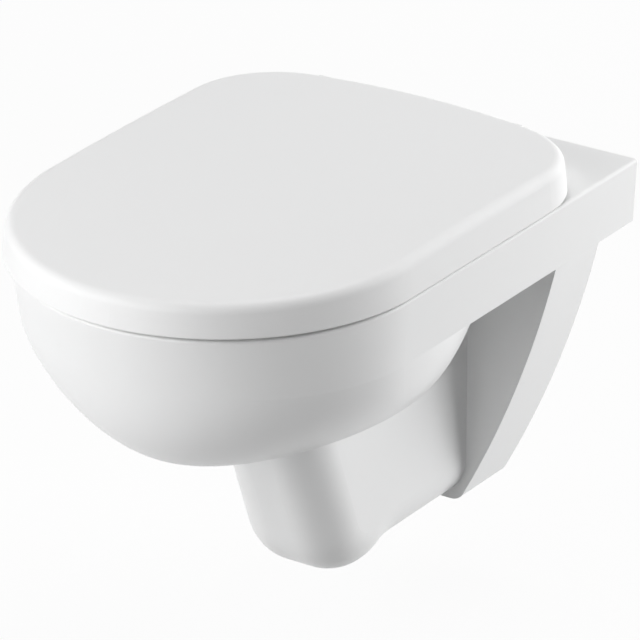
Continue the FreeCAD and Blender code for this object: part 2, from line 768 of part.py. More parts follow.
def build_pan_back(deck_back):
    """The wall side of the casting: the hollow flange with the inlet, the outlet and the fixing holes."""
    flange = build_shield(
        "flange", "flange_top_half", "deck_low", "flange_foot_half", "flange_drop", "flange_side_radius",
        "flange_depth",
    )
    hollow = build_shield(
        "flange_hollow", "hollow_top_half", "hollow_top", "hollow_foot_half", "hollow_drop",
        "hollow_side_radius", "flange_inside",
    )
    shell = cut("back_shell", fuse("back_lump", deck_back, flange), hollow)

    depth = cell("flange_depth")
    setback = f"-{cell('spigot_setback')}"
    neck_length = f"{depth} - {cell('spigot_setback')}"
    outlet_at = ("0", setback, f"-{cell('outlet_drop')}")
    inlet_at = ("0", setback, cell("inlet_rise"))
    fixing_at = (cell("fixing_x"), "0", "0")
    boss = cylinder("fixing_boss", cell("fixing_boss_radius"), depth, fixing_at, "-y")
    solid = fuse(
        "back_solid",
        shell,
        cylinder("outlet_neck", cell("outlet_radius"), neck_length, outlet_at, "-y"),
        cylinder("inlet_neck", cell("inlet_radius"), neck_length, inlet_at, "-y"),
        boss,
        mirrored("fixing_boss_left", boss),
    )

    outlet_start = ("0", "0", f"-{cell('outlet_drop')}")
    inlet_start = ("0", "0", cell("inlet_rise"))
    fixing_hole = cylinder("fixing_hole", cell("fixing_hole_radius"), depth, fixing_at, "-y")
    return cut_all(
        "pan_back",
        solid,
        cylinder("outlet_bore", cell("outlet_bore_radius"), depth, outlet_start, "-y"),
        cylinder("inlet_bore", cell("inlet_bore_radius"), cell("inlet_bore_depth"), inlet_start, "-y"),
        cylinder("inlet_neck_bore", cell("inlet_pipe_bore_radius"), depth, inlet_start, "-y"),
        fixing_hole,
        mirrored("fixing_hole_left", fixing_hole),
    )


def build_pan_bowl(deck_front, casing_front):
    """The front of the casting: deck, hollow rim, bowl and trap."""
    front = f"-{cell('flange_depth')}"
    inlet_at = ("0", front, cell("inlet_rise"))
    pipe_length = f"{cell('deck_pocket_reach')} + {cell('china_wall')} - {cell('flange_depth')}"
    pipe_bore_length = f"{cell('basin_setback')} + {cell('china_wall')} - {cell('flange_depth')}"
    solid = fuse(
        "bowl_solid",
        deck_front,
        casing_front,
        cylinder("inlet_pipe", cell("inlet_pipe_radius"), pipe_length, inlet_at, "-y"),
    )
    hinge_at = (cell("hinge_x"), f"-{cell('hinge_hole_reach')}", cell("deck_low"))
    hinge_hole = cylinder("hinge_hole", cell("hinge_hole_radius"), cell("deck_height"), hinge_at)
    return cut_all(
        "pan_bowl",
        solid,
        build_basin(),
        *build_trapway(),
        build_channel(),
        cylinder("inlet_pipe_bore", cell("inlet_pipe_bore_radius"), pipe_bore_length, inlet_at, "-y"),
        hinge_hole,
        mirrored("hinge_hole_left", hinge_hole),
    )


def build_pan():
    """The vitreous china casting, held as two pieces that meet at the front plane of the flange."""
    margin = cell("china_wall")
    wall_room = box(
        "wall_room",
        (
            f"2 * ({cell('pan_half')} + {margin})",
            f"{cell('flange_depth')} + {margin}",
            f"{cell('flange_drop')} + {cell('rim_height')} + 2 * {margin}",
        ),
        (
            f"-{cell('pan_half')} - {margin}",
            f"-{cell('flange_depth')}",
            f"-{cell('flange_drop')} - {margin}",
        ),
    )
    deck = build_bowl()
    back = build_pan_back(common("deck_back", deck, wall_room))
    casing = build_trap_casing()
    bowl = build_pan_bowl(cut("deck_front", deck, wall_room), cut("trap_casing_front", casing, wall_room))
    return [bowl, back]


def build_inlet_seal():
    """The rubber sleeve that sits in the flush inlet, against its shoulder, and takes the flush pipe."""
    return tube(
        "inlet_seal",
        f"{cell('inlet_bore_radius')} - {cell('seal_play')}",
        cell("seal_bore_radius"),
        f"{cell('inlet_bore_depth')} - {cell('spigot_setback')}",
        ("0", f"-{cell('spigot_setback')}", cell("inlet_rise")),
        "-y",
    )


def build_fixings():
    """At each wall stud: an insulating sleeve through the flange, a washer, a nut and a cap over it."""
    x = cell("fixing_x")
    sleeve_body = cylinder("sleeve_body", cell("sleeve_radius"), cell("flange_depth"), (x, "0", "0"), "-y")
    flange_face = (x, f"-{cell('flange_depth')}", "0")
    sleeve_head = cylinder("sleeve_head", cell("sleeve_head_radius"), cell("sleeve_head_height"), flange_face, "-y")
    sleeve_length = f"{cell('flange_depth')} + {cell('sleeve_head_height')}"
    sleeve_bore = cylinder("sleeve_bore", cell("stud_hole_radius"), sleeve_length, (x, "0", "0"), "-y")
    sleeve = cut("wall_sleeve", fuse("sleeve_solid", sleeve_body, sleeve_head), sleeve_bore)

    washer_at = (x, cell("sleeve_front"), "0")
    washer = tube(
        "wall_washer",
        cell("fixing_washer_radius"),
        cell("stud_hole_radius"),
        cell("fixing_washer_height"),
        washer_at,
        "-y",
    )

    nut_at = (x, cell("washer_front"), "0")
    hexagon = doc.addObject("Part::Prism", "wall_nut_hexagon")
    hexagon.Polygon = 6
    hexagon.Placement = Placement(Vector(), TURN["-y"])
    hexagon.setExpression("Circumradius", cell("fixing_nut_radius"))
    hexagon.setExpression("Height", cell("fixing_nut_height"))
    bind_place(hexagon, nut_at)
    nut_bore = cylinder(
        "wall_nut_bore", cell("fixing_nut_bore_radius"), cell("fixing_nut_height"), nut_at, "-y"
    )
    nut = cut("wall_nut", hexagon, nut_bore)

    cap_outside = cylinder("cap_outside", cell("nut_cap_radius"), cell("nut_cap_height"), nut_at, "-y")
    cap_round = fillet(
        "cap_round",
        cap_outside,
        "nut_cap_edge_radius",
        lambda edge: edge.BoundBox.YLength < 0.1 and edge.BoundBox.YMax < size("washer_front") - 1,
    )
    cap_inside = cylinder(
        "cap_inside",
        f"{cell('nut_cap_radius')} - {cell('nut_cap_wall')}",
        f"{cell('nut_cap_height')} - {cell('nut_cap_wall')}",
        nut_at,
        "-y",
    )
    cap = cut("wall_nut_cap", cap_round, cap_inside)
    return [
        both_sides("wall_sleeves", sleeve),
        both_sides("wall_washers", washer),
        both_sides("wall_nuts", nut),
        both_sides("wall_nut_caps", cap),
    ]


def build_hinge_arm():
    """A cranked arm: its foot stands on the base plate and its round end holds the hinge pin."""
    body = doc.addObject("PartDesign::Body", "hinge_crank")
    sketch = new_sketch(body, "hinge_profile", "YZ_Plane")
    sketch.setExpression("AttachmentOffset.Base.z", f"{cell('hinge_x')} - {cell('hinge_arm_half')}")
    front, back, base = -size("hinge_arm_front"), -size("hinge_arm_back"), size("hinge_base_high")
    axis = Vector(-size("hinge_setback"), size("hinge_z"), 0)
    radius, corner = size("hinge_arm_radius"), size("hinge_arm_corner")
    top = axis.y + radius
    under = size("hinge_arm_underside")
    under_angle = math.pi + math.asin(under / radius)
    under_start = axis.x + radius * math.cos(under_angle)
    sketch.addGeometry(
        [
            line(front, base, front, top - corner),
            arc(front + corner, top - corner, corner, math.pi / 2, math.pi),
            line(front + corner, top, axis.x, top),
            arc(axis.x, axis.y, radius, under_angle, math.pi * 5 / 2),
            line(under_start, axis.y - under, back, axis.y - under),
            line(back, axis.y - under, back, base),
            line(back, base, front, base),
        ]
    )
    join(sketch, "Tangent", [((0, 2), (1, 2)), ((1, 1), (2, 1)), ((2, 2), (3, 2))])
    join(
        sketch,
        "Coincident",
        [((3, 1), (4, 1)), ((4, 2), (5, 1)), ((5, 2), (6, 1)), ((6, 2), (0, 1))],
    )
    level(sketch, "Vertical", 0, 5)
    level(sketch, "Horizontal", 2, 4, 6)
    measure(sketch, "Radius", (1,), "hinge_arm_corner")
    measure(sketch, "Radius", (3,), "hinge_arm_radius")
    measure(sketch, "DistanceX", (3, 3, *ORIGIN), "hinge_setback")
    measure(sketch, "DistanceY", (*ORIGIN, 3, 3), "hinge_z")
    measure(sketch, "DistanceY", (*ORIGIN, 6, 1), "hinge_base_high")
    measure(sketch, "DistanceX", (0, 1, *ORIGIN), "hinge_arm_front")
    measure(sketch, "DistanceX", (5, 1, *ORIGIN), "hinge_arm_back")
    measure(sketch, "DistanceY", (4, 1, 3, 3), "hinge_arm_underside")
    pad = body.newObject("PartDesign::Pad", "hinge_crank_pad")
    pad.Profile = sketch
    pad.setExpression("Length", cell("hinge_arm_width"))
    return body


def build_hinges():
    """Both hinge mounts: what stands on the deck, what clamps it from below, and the hinge pins."""
    x, reach = cell("hinge_x"), f"-{cell('hinge_hole_reach')}"
    screw_hole = cell("hinge_screw_hole")

    def at(height):
        return (x, reach, height)

    gasket = tube(
        "hinge_gasket",
        f"{cell('hinge_base_radius')} - 1",
        cell("hinge_hole_radius"),
        cell("hinge_gasket_height"),
        at(cell("rim_height")),
    )
    base_plate = tube(
        "hinge_base_plate",
        cell("hinge_base_radius"),
        screw_hole,
        cell("hinge_base_height"),
        at(cell("hinge_base_low")),
    )
    pin_at = (cell("pin_start"), f"-{cell('hinge_setback')}", cell("hinge_z"))
    pin_hole = cylinder("hinge_pin_hole", cell("hinge_pin_hole"), cell("pin_length"), pin_at, "x")
    blind_hole = cylinder(
        "hinge_screw_hole", screw_hole, f"{cell('hinge_screw_grip')} + 0.5", at(cell("hinge_base_high"))
    )
    arm = cut_all("hinge_arm", build_hinge_arm(), pin_hole, blind_hole)
    pin = cylinder("hinge_pin", cell("hinge_pin_radius"), cell("pin_length"), pin_at, "x")
    screw_length = f"{cell('hinge_screw_high')} - {cell('hinge_screw_low')}"
    screw = cylinder("hinge_screw", cell("hinge_screw_radius"), screw_length, at(cell("hinge_screw_low")))

    plug = doc.addObject("Part::Cone", "hinge_cone_plug")
    plug.setExpression("Radius1", f"{cell('hinge_hole_radius')} - {cell('hinge_plug_gap')}")
    plug.setExpression("Radius2", f"{cell('hinge_hole_radius')} - 4 * {cell('hinge_plug_gap')}")
    plug.setExpression("Height", cell("hinge_plug_height"))
    bind_place(plug, at(cell("deck_underside")))
    cone_flange = cylinder(
        "hinge_cone_flange", cell("hinge_cone_radius"), cell("hinge_cone_height"), at(cell("cone_low"))
    )
    cone_bore = cylinder(
        "hinge_cone_bore",
        screw_hole,
        f"{cell('hinge_cone_height')} + {cell('hinge_plug_height')}",
        at(cell("cone_low")),
    )
    cone = cut("hinge_cone", fuse("hinge_cone_solid", plug, cone_flange), cone_bore)
    washer = tube(
        "hinge_washer",
        cell("hinge_washer_radius"),
        screw_hole,
        cell("hinge_washer_height"),
        at(cell("hinge_washer_low")),
    )
    hub = cylinder("wing_hub", cell("wing_hub_radius"), cell("wing_hub_height"), at(cell("wing_low")))
    wings = box(
        "wing_blades",
        (cell("wing_span"), cell("wing_thickness"), cell("wing_height")),
        (f"{x} - {cell('wing_span')} / 2", f"{reach} - {cell('wing_thickness')} / 2", cell("wing_low")),
    )
    round_wings = fillet(
        "wing_round",
        wings,
        "wing_edge_radius",
        lambda edge: edge.BoundBox.XLength < 0.1 and edge.BoundBox.ZLength < 0.1,
    )
    wing_bore = cylinder("wing_bore", screw_hole, cell("wing_hub_height"), at(cell("wing_low")))
    wing_nut = cut("hinge_wing_nut", fuse("wing_solid", hub, round_wings), wing_bore)
    return [
        both_sides("hinge_gaskets", gasket),
        both_sides("hinge_base_plates", base_plate),
        both_sides("hinge_arms", arm),
        both_sides("hinge_screws", screw),
        both_sides("hinge_cones", cone),
        both_sides("hinge_washers", washer),
        both_sides("hinge_wing_nuts", wing_nut),
        both_sides("hinge_pins", pin),
    ]


def build_outline(name, half, reach, nose, setback, rear, rear_centre, corner, height):
    """
    The plan of seat or lid: a bowed rear, round corners, straight sides and a front of three arcs.
    All sizes are cell names.
    """
    sketch = doc.addObject("Sketcher::SketchObject", name)
    sketch.setExpression("Placement.Base.z", cell(height))
    width, nose_radius, corner_radius, rear_radius = size(half), size(nose), size(corner), size(rear)
    widest = size("rim_widest_reach")
    nose_y = nose_radius - size(reach)
    fall = -nose_y - widest
    side_radius = (width**2 + fall**2 - nose_radius**2) / (2 * (width - nose_radius))
    way = 1 if side_radius > nose_radius else -1
    turn = math.atan2(-fall * way, (side_radius - width) * way)
    rear_y = -size(setback) - rear_radius
    corner_x = width - corner_radius
    corner_y = rear_y + math.sqrt((rear_radius - corner_radius) ** 2 - corner_x**2)
    lean = math.atan2(corner_y - rear_y, corner_x)
    sketch.addGeometry(
        [
            arc(0, nose_y, nose_radius, math.pi - turn, turn + 2 * math.pi),
            arc(width - side_radius, -widest, side_radius, turn, 0),
            line(width, -widest, width, corner_y),
            arc(corner_x, corner_y, corner_radius, 0, lean),
            arc(0, rear_y, rear_radius, lean, math.pi - lean),
            arc(-corner_x, corner_y, corner_radius, math.pi - lean, math.pi),
            line(-width, corner_y, -width, -widest),
            arc(side_radius - width, -widest, side_radius, math.pi, math.pi - turn),
        ]
    )
    join(sketch, "Tangent", [((n, 2), ((n + 1) % 8, 1)) for n in range(8)])
    for number in (0, 4):
        sketch.addConstraint(Sketcher.Constraint("PointOnObject", number, 3, -2))
    level(sketch, "Vertical", 2, 6)
    sketch.addConstraint(Sketcher.Constraint("Equal", 3, 5))
    sketch.addConstraint(Sketcher.Constraint("Equal", 1, 7))
    measure(sketch, "DistanceX", (*ORIGIN, 2, 1), half)
    measure(sketch, "DistanceX", (6, 1, *ORIGIN), half)
    measure(sketch, "DistanceY", (1, 2, *ORIGIN), "rim_widest_reach")
    measure(sketch, "DistanceY", (0, 3, *ORIGIN), "nose_centre")
    measure(sketch, "DistanceY", (4, 3, *ORIGIN), rear_centre)
    measure(sketch, "Radius", (0,), nose)
    measure(sketch, "Radius", (3,), corner)
    measure(sketch, "Radius", (4,), rear)
    return sketch


def extrude(name, sketch, height, draft=None):
    """A sketch raised to a height; with a draft in degrees, its sides lean inwards."""
    item = doc.addObject("Part::Extrusion", name)
    item.Base = sketch
    item.DirMode = "Custom"
    item.Dir = Vector(0, 0, 1)
    item.Solid = True
    item.setExpression("LengthFwd", height)
    if draft:
        item.setExpression("TaperAngle", f"-{draft}")
    return item


def knuckle(name, start, foot_sides, foot_at):
    """A hinge knuckle round the axis, with a foot that joins it to seat or lid."""
    axis_at = (start, f"-{cell('hinge_setback')}", cell("hinge_z"))
    barrel = cylinder(name + "_barrel", cell("knuckle_radius"), cell("knuckle_width"), axis_at, "x")
    return fuse(name, barrel, box(name + "_foot", foot_sides, foot_at))


def hinge_bush(name, start):
    at = (start, f"-{cell('hinge_setback')}", cell("hinge_z"))
    return tube(name, cell("bush_radius"), cell("hinge_pin_hole"), cell("bush_length"), at, "x")


def hinge_damper(name, start):
    """A soft close cartridge: a bush with a flat along it."""
    turned = hinge_bush(name + "_turned", start)
    flat = box(
        name + "_flat",
        (cell("bush_length"), f"2 * {cell('bush_radius')}", cell("bush_radius")),
        (
            start,
            f"-{cell('hinge_setback')} - {cell('bush_radius')}",
            f"{cell('hinge_z')} + {cell('damper_flat')}",
        ),
    )
    return cut(name, turned, flat)


def knuckle_bores(name, start):
    at = (start, f"-{cell('hinge_setback')}", cell("hinge_z"))
    bore = cylinder(name, cell("bush_hole"), cell("knuckle_width"), at, "x")
    return [bore, mirrored(name + "_left", bore)]


BUFFER_SPOTS = [("buffer_rear_x", "buffer_rear_reach"), ("buffer_front_x", "buffer_front_reach")]


def build_seat():
    """The seat ring with its two hinge lugs, its buffers, and the bush and damper it turns on."""
    outline = build_outline(
        "seat_outline", "seat_half", "seat_reach", "seat_nose", "seat_setback", "seat_rear_radius",
        "seat_rear_centre", "seat_corner_radius", "seat_low",
    )
    block = extrude("seat_block", outline, cell("seat_thickness"))
    opening_wire = egg(
        size("seat_opening_half"),
        size("opening_widest_reach"),
        size("seat_opening_reach"),
        size("seat_opening_setback"),
        size("seat_low"),
    )
    opening = solid_feature("seat_opening", prism(opening_wire, size("seat_thickness")))
    flat_ring = cut("seat_flat_ring", block, opening)
    ring = fillet(
        "seat_top_round",
        flat_ring,
        "seat_edge_radius",
        lambda edge: edge.BoundBox.ZMin > size("seat_high") - 0.1,
    )
    ring = fillet(
        "seat_bottom_round",
        ring,
        "seat_under_radius",
        lambda edge: edge.BoundBox.ZMax < size("seat_low") + 0.1,
    )

    slot_width = f"{cell('hinge_arm_width')} + 2 * {cell('seat_slot_gap')}"
    slot = box(
        "seat_slot",
        (
            slot_width,
            f"{cell('hinge_arm_front')} + {cell('seat_slot_gap')} - {cell('hinge_setback')}",
            cell("seat_thickness"),
        ),
        (
            f"{cell('hinge_x')} - {cell('hinge_arm_half')} - {cell('seat_slot_gap')}",
            f"-{cell('hinge_arm_front')} - {cell('seat_slot_gap')}",
            cell("seat_low"),
        ),
    )
    slotted = cut_all("seat_slotted", ring, slot, mirrored("seat_slot_left", slot))
    lug = knuckle(
        "seat_lug",
        cell("seat_knuckle_x"),
        (
            cell("knuckle_width"),
            f"{cell('seat_setback')} + {cell('seat_lug_overlap')} - {cell('hinge_setback')}",
            f"{cell('seat_high')} - {cell('seat_lug_drop')} - {cell('hinge_z')} + {cell('knuckle_radius')}",
        ),
        (
            cell("seat_knuckle_x"),
            f"-{cell('seat_setback')} - {cell('seat_lug_overlap')}",
            f"{cell('hinge_z')} - {cell('knuckle_radius')}",
        ),
    )
    solid = fuse("seat_solid", slotted, lug, mirrored("seat_lug_left", lug))
    seat = cut_all("seat_ring", solid, *knuckle_bores("seat_bush_bore", cell("seat_knuckle_x")))

    buffers = []
    for x, reach in BUFFER_SPOTS:
        name = "seat_" + x.removesuffix("_x")
        at = (cell(x), f"-{cell(reach)}", f"{cell('rim_height')} + {cell('seat_gap')}")
        height = f"{cell('seat_lift')} - {cell('seat_gap')}"
        buffers.append(cylinder(name, cell("seat_buffer_radius"), height, at))
    start = f"{cell('seat_knuckle_x')} + {cell('bush_inset')}"
    return [
        seat,
        all_sides("seat_buffers", buffers),
        hinge_bush("seat_bush", start),
        hinge_damper("seat_damper", f"-({start}) - {cell('bush_length')}"),
    ]


def ball(name, radius):
    """The sphere that crowns the lid, or the one just inside it."""
    item = doc.addObject("Part::Sphere", name)
    item.setExpression("Radius", radius)
    bind_place(item, ("0", f"-{cell('lid_crown_reach')}", cell("crown_centre")))
    return item


def build_lid():
    """The lid: a thin crowned shell over the seat, with its hinge ears, buffers, bush and damper."""
    outline = build_outline(
        "lid_outline", "lid_half", "lid_reach", "lid_nose_radius", "lid_setback", "lid_rear_radius",
        "lid_rear_centre", "lid_corner_radius", "lid_low",
    )
    block = extrude("lid_block", outline, cell("lid_rise"), cell("lid_draft"))
    dome = common("lid_dome", block, ball("lid_crown", cell("lid_crown_radius")))
    rounded = fillet(
        "lid_rounded", dome, "lid_edge_radius", lambda edge: edge.BoundBox.ZMin > size("lid_low") + size("lid_edge_radius")
    )
    outside = fillet(
        "lid_outside", rounded, "lid_under_radius", lambda edge: edge.BoundBox.ZMax < size("lid_low") + size("lid_under_radius")
    )
    inner_outline = build_outline(
        "lid_inner_outline", "lid_inner_half", "lid_inner_reach", "lid_inner_nose", "lid_inner_setback",
        "lid_inner_rear", "lid_rear_centre", "lid_inner_corner", "rim_height",
    )
    inner_block = extrude("lid_inner_block", inner_outline, cell("lid_rise"), cell("lid_draft"))
    inner_crown = ball("lid_inner_ball", cell("lid_inner_crown"))
    inside = common("lid_inside", inner_block, inner_crown)

    whole_width = f"2 * {cell('lid_half')}"
    behind = box(
        "lid_behind_axis",
        (whole_width, cell("hinge_setback"), cell("hinge_rise")),
        (f"-{cell('lid_half')}", f"-{cell('hinge_setback')}", cell("rim_height")),
    )
    axis_left = (f"-{cell('lid_half')}", f"-{cell('hinge_setback')}", cell("hinge_z"))
    swing = cylinder("lid_rear_swing", cell("lid_rear_relief"), whole_width, axis_left, "x")
    relief = cut("lid_relief", behind, swing)
    notch = box(
        "lid_notch",
        (
            f"{cell('hinge_arm_width')} + 2 * {cell('seat_slot_gap')}",
            cell("hinge_setback"),
            f"{cell('hinge_rise')} + {cell('hinge_arm_radius')} + {cell('lid_notch_gap')}",
        ),
        (
            f"{cell('hinge_x')} - {cell('hinge_arm_half')} - {cell('seat_slot_gap')}",
            f"-{cell('hinge_setback')}",
            cell("rim_height"),
        ),
    )
    shell = cut_all("lid_thin_shell", outside, inside, relief, notch, mirrored("lid_notch_left", notch))
    ear = knuckle(
        "lid_ear",
        cell("lid_knuckle_x"),
        (
            cell("knuckle_width"),
            f"2 * {cell('knuckle_radius')}",
            f"{cell('lid_ear_high')} - {cell('hinge_z')}",
        ),
        (
            cell("lid_knuckle_x"),
            f"-{cell('hinge_setback')} - {cell('knuckle_radius')}",
            cell("hinge_z"),
        ),
    )
    solid = fuse("lid_solid", shell, ear, mirrored("lid_ear_left", ear))
    lid = cut_all("lid_shell", solid, *knuckle_bores("lid_bush_bore", cell("lid_knuckle_x")))

    buffers = []
    for x, reach in BUFFER_SPOTS:
        name = "lid_" + x.removesuffix("_x")
        at = (cell(x), f"-{cell(reach)}", f"{cell('seat_high')} + {cell('seat_gap')}")
        post = cylinder(name + "_post", cell("lid_buffer_radius"), cell("lid_rise"), at)
        buffers.append(common(name, post, inner_crown))
    start = f"{cell('lid_knuckle_x')} + {cell('bush_inset')}"
    return [
        lid,
        all_sides("lid_buffers", buffers),
        hinge_bush("lid_bush", f"-({start}) - {cell('bush_length')}"),
        hinge_damper("lid_damper", start),
    ]


def check(items):
    """Stop when any object has an error or any part has no sound solid."""
    for item in doc.Objects:
        if "Invalid" in item.State or "Error" in item.State:
            raise RuntimeError(f"{item.Name} did not compute: {item.State}")
    for item in items:
        shape = item.Shape
        if shape.isNull() or not shape.isValid() or not shape.Solids:
            raise RuntimeError(f"{item.Name} has no valid solid")


def main():
    parts = build_pan() + [build_inlet_seal()] + build_fixings() + build_hinges() + build_seat() + build_lid()
    for part in parts:
        part.Label = part.Name
    doc.recompute()
    check(parts)
    os.makedirs("parts", exist_ok=True)
    for part in parts:
        part.Shape.exportStep(f"parts/{part.Label}.step")


main()
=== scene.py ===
import json
import math

import bpy
from mathutils import Matrix, Vector

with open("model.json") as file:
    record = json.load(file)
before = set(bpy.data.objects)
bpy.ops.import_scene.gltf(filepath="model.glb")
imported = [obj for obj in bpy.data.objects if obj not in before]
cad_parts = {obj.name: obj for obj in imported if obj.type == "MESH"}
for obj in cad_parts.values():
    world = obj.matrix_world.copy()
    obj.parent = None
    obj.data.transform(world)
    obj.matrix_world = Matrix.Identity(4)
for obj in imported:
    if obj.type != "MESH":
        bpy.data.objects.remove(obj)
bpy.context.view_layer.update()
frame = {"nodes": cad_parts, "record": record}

scene = bpy.context.scene
nodes = frame["nodes"]


# Materials

class Surface:
    """A procedural material, built node by node around one Principled shader."""

    def __init__(self, name):
        self.material = bpy.data.materials.new(name)
        self.material.use_nodes = True
        self.tree = self.material.node_tree
        self.tree.nodes.clear()
        output = self.tree.nodes.new("ShaderNodeOutputMaterial")
        self.shader = self.tree.nodes.new("ShaderNodeBsdfPrincipled")
        self.tree.links.new(self.shader.outputs["BSDF"], output.inputs["Surface"])
        self.place = self.tree.nodes.new("ShaderNodeTexCoord")
        self.bump_end = None

    def set(self, **values):
        for name, value in values.items():
            self.shader.inputs[name.replace("_", " ")].default_value = value

    def mapped(self, stretch):
        mapping = self.tree.nodes.new("ShaderNodeMapping")
        mapping.inputs["Scale"].default_value = stretch
        self.tree.links.new(self.place.outputs["Object"], mapping.inputs["Vector"])
        return mapping.outputs["Vector"]

    def noise(self, scale, detail=3.0, roughness=0.5, stretch=(1, 1, 1)):
        texture = self.tree.nodes.new("ShaderNodeTexNoise")
        texture.inputs["Scale"].default_value = scale
        texture.inputs["Detail"].default_value = detail
        texture.inputs["Roughness"].default_value = roughness
        self.tree.links.new(self.mapped(stretch), texture.inputs["Vector"])
        return texture.outputs["Fac"]

    def specks(self, scale, stretch=(1, 1, 1)):
        texture = self.tree.nodes.new("ShaderNodeTexVoronoi")
        texture.inputs["Scale"].default_value = scale
        self.tree.links.new(self.mapped(stretch), texture.inputs["Vector"])
        return texture.outputs["Distance"]

    def ramp(self, factor, *stops):
        """Colours or numbers spread over a factor; each stop is (place, value)."""
        ramp = self.tree.nodes.new("ShaderNodeValToRGB")
        points = ramp.color_ramp.elements
        while len(points) < len(stops):
            points.new(0.5)
        for point, (place, value) in zip(points, stops):
            point.position = place
            point.color = (value, value, value, 1) if isinstance(value, float) else (*value, 1)
        self.tree.links.new(factor, ramp.inputs["Fac"])
        return ramp.outputs["Color"]

    def feed(self, socket, output):
        self.tree.links.new(output, self.shader.inputs[socket])

    def bump(self, height, strength, distance):
        node = self.tree.nodes.new("ShaderNodeBump")
        node.inputs["Strength"].default_value = strength
        node.inputs["Distance"].default_value = distance
        self.tree.links.new(height, node.inputs["Height"])
        if self.bump_end is not None:
            self.tree.links.new(self.bump_end, node.inputs["Normal"])
        self.bump_end = node.outputs["Normal"]
        self.tree.links.new(self.bump_end, self.shader.inputs["Normal"])


def china():
    """Fired glaze: a clear hard coat over a white that clouds very slightly, with a faint ripple."""
    made = Surface("glazed_china")
    made.set(IOR=1.5, Coat_Weight=0.08, Coat_Roughness=0.12)
    cloud = made.noise(5.0, 4.0)
    made.feed("Base Color", made.ramp(cloud, (0.3, (0.862, 0.866, 0.868)), (0.7, (0.876, 0.878, 0.877))))
    made.feed("Roughness", made.ramp(made.noise(28.0, 4.0), (0.3, 0.30), (0.7, 0.34)))
    made.bump(made.noise(16.0, 2.0), 0.03, 0.002)
    return made.material


def thermoset():
    """Moulded urea: a satin white with a fine skin and barely visible flow marks."""
    made = Surface("white_thermoset")
    made.set(IOR=1.45)
    flow = made.noise(3.0, 5.0, 0.6, (1.0, 0.35, 1.0))
    made.feed("Base Color", made.ramp(flow, (0.3, (0.858, 0.860, 0.862)), (0.7, (0.868, 0.869, 0.869))))
    made.feed("Roughness", made.ramp(made.noise(320.0, 4.0), (0.3, 0.44), (0.7, 0.48)))
    made.bump(made.noise(900.0, 2.0), 0.05, 0.0002)
    return made.material


def moulded_plastic(name, dark, light, rough):
    """Injection moulded plastic with a fine spark-eroded grain."""
    made = Surface(name)
    made.set(IOR=1.48)
    made.feed("Base Color", made.ramp(made.noise(18.0, 5.0), (0.3, dark), (0.7, light)))
    made.feed("Roughness", made.ramp(made.noise(120.0, 3.0), (0.3, rough - 0.06), (0.7, rough + 0.08)))
    made.bump(made.specks(2400.0), 0.12, 0.0002)
    return made.material


def rubber(name, dark, light, cloudy):
    """Soft rubber: dull, dusty in places, with a slight pebble."""
    made = Surface(name)
    made.set(IOR=1.5, Sheen_Weight=0.15, Sheen_Roughness=0.6, Subsurface_Weight=cloudy)
    made.feed("Base Color", made.ramp(made.noise(45.0, 6.0, 0.65), (0.3, dark), (0.75, light)))
    made.feed("Roughness", made.ramp(made.noise(200.0, 3.0), (0.3, 0.5), (0.7, 0.72)))
    made.bump(made.noise(1500.0, 3.0), 0.15, 0.0002)
    return made.material


def chrome():
    """Plated metal: bright, with faint polishing marks and a little haze."""
    made = Surface("chrome_plate")
    made.set(Metallic=1.0, Coat_Weight=0.1)
    tone = made.noise(30.0, 4.0)
    made.feed("Base Color", made.ramp(tone, (0.3, (0.70, 0.71, 0.73)), (0.7, (0.80, 0.80, 0.81))))
    haze = made.noise(90.0, 5.0, 0.6, (1.0, 8.0, 8.0))
    made.feed("Roughness", made.ramp(haze, (0.3, 0.06), (0.75, 0.17)))
    made.bump(made.noise(240.0, 3.0, 0.5, (0.2, 3.0, 3.0)), 0.03, 0.0002)
    return made.material


def zinc_steel():
    """Zinc plated steel: pale grey with a cloudy spangle and fine turning marks."""
    made = Surface("zinc_steel")
    made.set(Metallic=1.0)
    spangle = made.specks(160.0)
    made.feed("Base Color", made.ramp(spangle, (0.1, (0.50, 0.51, 0.54)), (0.8, (0.66, 0.66, 0.65))))
    made.feed("Roughness", made.ramp(made.noise(70.0, 5.0), (0.3, 0.24), (0.7, 0.42)))
    made.bump(made.noise(500.0, 3.0, 0.5, (4.0, 0.3, 4.0)), 0.08, 0.0002)
    return made.material


FINISHES = {
    "china": china(),
    "thermoset": thermoset(),
    "white_plastic": moulded_plastic("white_plastic", (0.80, 0.80, 0.79), (0.86, 0.86, 0.85), 0.38),
    "grey_plastic": moulded_plastic("grey_plastic", (0.33, 0.34, 0.36), (0.42, 0.43, 0.45), 0.42),
    "clear_rubber": rubber("pale_rubber", (0.68, 0.69, 0.70), (0.78, 0.79, 0.79), 0.2),
    "dark_rubber": rubber("black_rubber", (0.020, 0.020, 0.021), (0.048, 0.047, 0.046), 0.0),
    "hinge_metal": chrome(),
    "steel": zinc_steel(),
}

for part in frame["record"]["subparts"]:
    mesh = nodes[part["node"]].data
    mesh.materials.clear()
    mesh.materials.append(FINISHES[part["material_slot"]])


# Floor and world

FLOOR_LEVEL = -0.34
FLOOR_HALF = 12.0
# The grey that lights the object from below, and the one that the camera sees.
FLOOR_THROWN = 0.42
FLOOR_PAINT = 0.9
# How much of the floor is its own white, near the object and from the far distance on.
NEAR_GLOW, NEAR_DISTANCE = 0.92, 0.9
FAR_GLOW, FAR_DISTANCE = 1.0, 2.6
AMBIENT = 0.02


def grey(level):
    return (level, level, level, 1)


